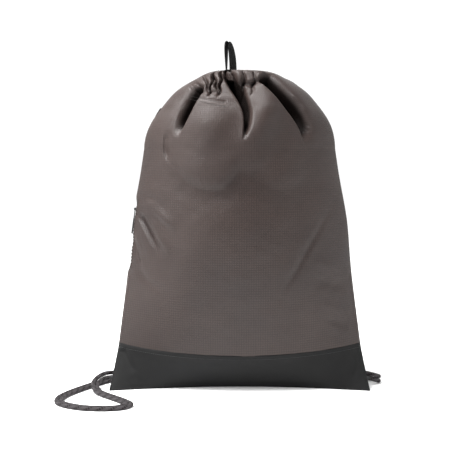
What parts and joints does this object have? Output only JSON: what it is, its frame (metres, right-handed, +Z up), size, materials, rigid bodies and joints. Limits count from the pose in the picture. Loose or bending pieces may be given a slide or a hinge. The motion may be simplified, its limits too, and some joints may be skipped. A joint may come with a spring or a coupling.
{
  "type": "laundry bag",
  "caption": "Upright drawstring laundry bag with a gathered cloth mouth, dark base band, doubled drawcords to corner tabs that serve as straps, webbing hang loop and side zip pocket.",
  "frame": {"origin": "on the ground under the middle of the bag, in the plane of its side seams", "axes": "+Z up along the height, +X to the wearer's left as the front faces you, so to the right in a front view; the front faces -Y"},
  "size_m": [0.4391, 0.2517, 0.4776],
  "materials": {
    "ripstop_cloth": "coated nylon ripstop with a soft sheen",
    "base_cloth": "plain-woven heavy polyester, matte",
    "pocket_cloth": "thin lining taffeta, matte",
    "binding_tape": "woven edge tape, matte",
    "webbing": "narrow woven webbing, slight sheen",
    "braided_cord": "braided polyester cord with dark flecks",
    "sealed_tip": "heat-sealed cord ends, matte",
    "zip_tape": "woven zip tape, matte",
    "zip_coil": "nylon coil, satin",
    "zip_metal": "black enamelled zinc, worn at the edges",
    "pull_cord": "thin braided cord, matte"
  },
  "bodies": {
    "bag": {"front_panel": "ripstop_cloth", "back_panel": "ripstop_cloth", "base_front": "base_cloth", "base_back": "base_cloth", "base_panel": "base_cloth", "channel_front": "ripstop_cloth", "channel_back": "ripstop_cloth", "seam_binding_right": "binding_tape", "seam_binding_left_upper": "binding_tape", "seam_binding_left_lower": "binding_tape", "hang_loop": "webbing", "corner_tab_left": "webbing", "corner_tab_right": "webbing", "cord_left_channel": "braided_cord", "cord_right_channel": "braided_cord", "cord_left_strand_a": "braided_cord", "cord_left_strand_b": "braided_cord", "cord_right_strand_a": "braided_cord", "cord_right_strand_b": "braided_cord", "cord_left_knot": "braided_cord", "cord_right_knot": "braided_cord", "cord_left_tails": "braided_cord", "cord_right_tails": "braided_cord", "cord_left_tips": "sealed_tip", "cord_right_tips": "sealed_tip", "zip_tape_front": "zip_tape", "zip_tape_back": "zip_tape", "zip_coil_front": "zip_coil", "zip_coil_back": "zip_coil", "zip_top_stop": "zip_metal", "zip_bottom_stop": "zip_metal", "pocket_bag": "pocket_cloth"},
    "zip_slider": {"zip_slider": "zip_metal"},
    "zip_pull": {"zip_pull": "zip_metal", "zip_pull_cord": "pull_cord"}
  },
  "joints": [
    {"name": "zip_slide", "type": "slide", "parent": "bag", "child": "zip_slider", "axis": [0.1363, 0, 0.9907], "range_m": [-0.067, 0]},
    {"name": "zip_pull_swing", "type": "hinge", "parent": "zip_slider", "child": "zip_pull", "pos_m": [-0.14268, 0, 0.24707], "axis": [0, 1, 0], "range_deg": [0, 170]}
  ]
}
